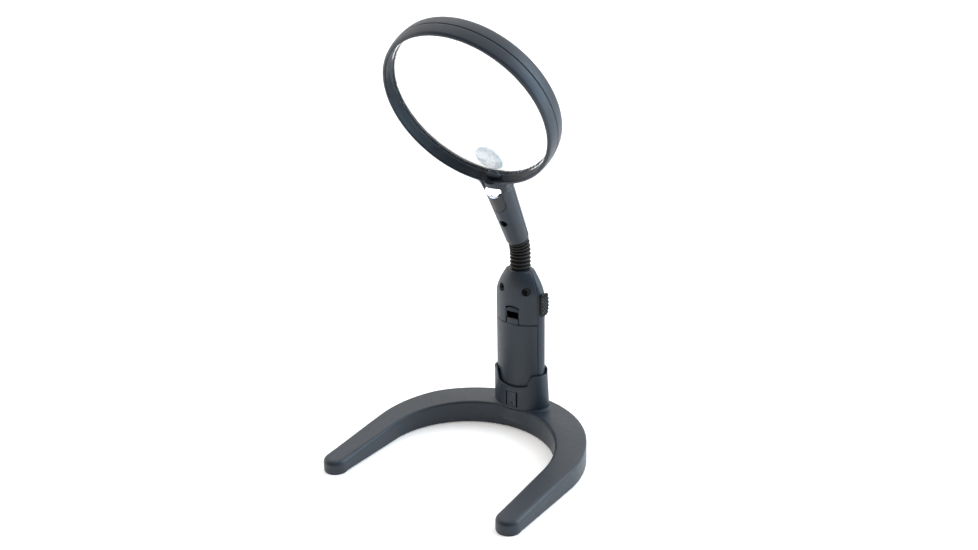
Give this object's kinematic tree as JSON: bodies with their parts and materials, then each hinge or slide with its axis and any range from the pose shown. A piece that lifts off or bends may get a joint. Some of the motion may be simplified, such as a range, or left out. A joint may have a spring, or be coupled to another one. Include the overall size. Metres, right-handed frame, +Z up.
{
  "type": "low vision magnifier",
  "caption": "Round lighted magnifying lens with a small strong inset lens, on a short flexible neck and a battery column that lifts out of a horseshoe stand.",
  "frame": {"origin": "the battery column's axis at the surface that the stand rests on", "axes": "+Z up, -Y towards the open front of the horseshoe, +X towards the side with the switch"},
  "size_m": [0.156, 0.147, 0.3008],
  "materials": {
    "slate_plastic": "satin moulded plastic, dark slate blue-grey, fine texture",
    "foot_rubber": "matt rubber",
    "neck_rubber": "ribbed matt rubber",
    "black_plastic": "black moulded plastic",
    "steel": "zinc plated",
    "ballast": "plain sheet steel",
    "contact_metal": "plated spring brass",
    "battery_jacket": "plain printed sleeve without marks",
    "wire": "insulated wire",
    "lens": "polished clear acrylic",
    "lamp_window": "clear domed window, lit white",
    "reflector": "white moulded bowl",
    "lamp": "clear lamp body",
    "board": "green lacquered board"
  },
  "bodies": {
    "base": {"base_shell": "slate_plastic", "base_plate": "slate_plastic", "ballast_plate": "ballast", "front_feet": "foot_rubber", "rear_feet": "foot_rubber", "base_screws": "steel", "socket_collar": "slate_plastic", "collar_screws": "steel"},
    "release_tab": {"release_tab": "slate_plastic"},
    "column": {"column_rear_shell": "slate_plastic", "column_front_shell": "slate_plastic", "column_screws": "steel", "battery_left": "battery_jacket", "battery_middle": "battery_jacket", "battery_right": "battery_jacket", "contact_springs": "steel", "contact_plates": "contact_metal", "switch_body": "black_plastic", "column_wires": "wire", "neck_lower_ferrule": "steel"},
    "battery_door": {"battery_door": "slate_plastic"},
    "switch_slider": {"switch_slider": "black_plastic"},
    "neck_rib_1": {"neck_rib_1": "neck_rubber"},
    "neck_rib_2": {"neck_rib_2": "neck_rubber"},
    "neck_rib_3": {"neck_rib_3": "neck_rubber"},
    "neck_rib_4": {"neck_rib_4": "neck_rubber"},
    "neck_rib_5": {"neck_rib_5": "neck_rubber"},
    "neck_rib_6": {"neck_rib_6": "neck_rubber"},
    "neck_rib_7": {"neck_rib_7": "neck_rubber"},
    "neck_rib_8": {"neck_rib_8": "neck_rubber"},
    "head": {"neck_upper_ferrule": "steel", "head_front_shell": "slate_plastic", "head_rear_shell": "slate_plastic", "main_lens": "lens", "spot_lens": "lens", "lens_clip": "slate_plastic", "led_window": "lamp_window", "led_cover": "slate_plastic", "led_reflector": "reflector", "leds": "lamp", "led_board": "board", "head_screw": "steel", "head_wires": "wire"}
  },
  "joints": [
    {"name": "column_lift", "type": "slide", "parent": "base", "child": "column", "axis": [0, 0, 1], "range_m": [0, 0.035]},
    {"name": "release_tab_flex", "type": "hinge", "parent": "base", "child": "release_tab", "pos_m": [0, -0.0126, 0.03015], "axis": [-1, 0, 0], "range_deg": [0, 5], "stiffness_Nm_per_rad": 0.1},
    {"name": "battery_door_slide", "type": "slide", "parent": "column", "child": "battery_door", "axis": [0, 0, -1], "range_m": [0, 0.004]},
    {"name": "switch_slide", "type": "slide", "parent": "column", "child": "switch_slider", "axis": [0, 0, -1], "range_m": [0, 0.003]},
    {"name": "neck_bend_1", "type": "hinge", "parent": "column", "child": "neck_rib_1", "pos_m": [0, 0, 0.12018], "axis": [1, 0, 0], "range_deg": [-10, 4]},
    {"name": "neck_sway_1", "type": "hinge", "parent": "neck_rib_1", "child": "neck_rib_2", "pos_m": [0, 0, 0.12298], "axis": [0, 1, 0], "range_deg": [-8, 8]},
    {"name": "neck_bend_2", "type": "hinge", "parent": "neck_rib_2", "child": "neck_rib_3", "pos_m": [0, 0, 0.12577], "axis": [1, 0, 0], "range_deg": [-10, 4]},
    {"name": "neck_sway_2", "type": "hinge", "parent": "neck_rib_3", "child": "neck_rib_4", "pos_m": [0, 0, 0.12857], "axis": [0, 0.9998, 0.0175], "range_deg": [-8, 8]},
    {"name": "neck_bend_3", "type": "hinge", "parent": "neck_rib_4", "child": "neck_rib_5", "pos_m": [0, -0.0001, 0.13137], "axis": [1, 0, 0], "range_deg": [-10, 4]},
    {"name": "neck_sway_3", "type": "hinge", "parent": "neck_rib_5", "child": "neck_rib_6", "pos_m": [0, -0.00044, 0.13415], "axis": [0, 0.9863, 0.165], "range_deg": [-8, 8]},
    {"name": "neck_bend_4", "type": "hinge", "parent": "neck_rib_6", "child": "neck_rib_7", "pos_m": [0, -0.00102, 0.13689], "axis": [1, 0, 0], "range_deg": [-10, 4]},
    {"name": "neck_sway_4", "type": "hinge", "parent": "neck_rib_7", "child": "neck_rib_8", "pos_m": [0, -0.00189, 0.13955], "axis": [0, 0.9367, 0.3502], "range_deg": [-8, 8]},
    {"name": "neck_bend_5", "type": "hinge", "parent": "neck_rib_8", "child": "head", "pos_m": [0, -0.00298, 0.14213], "axis": [1, 0, 0], "range_deg": [-10, 4]}
  ]
}
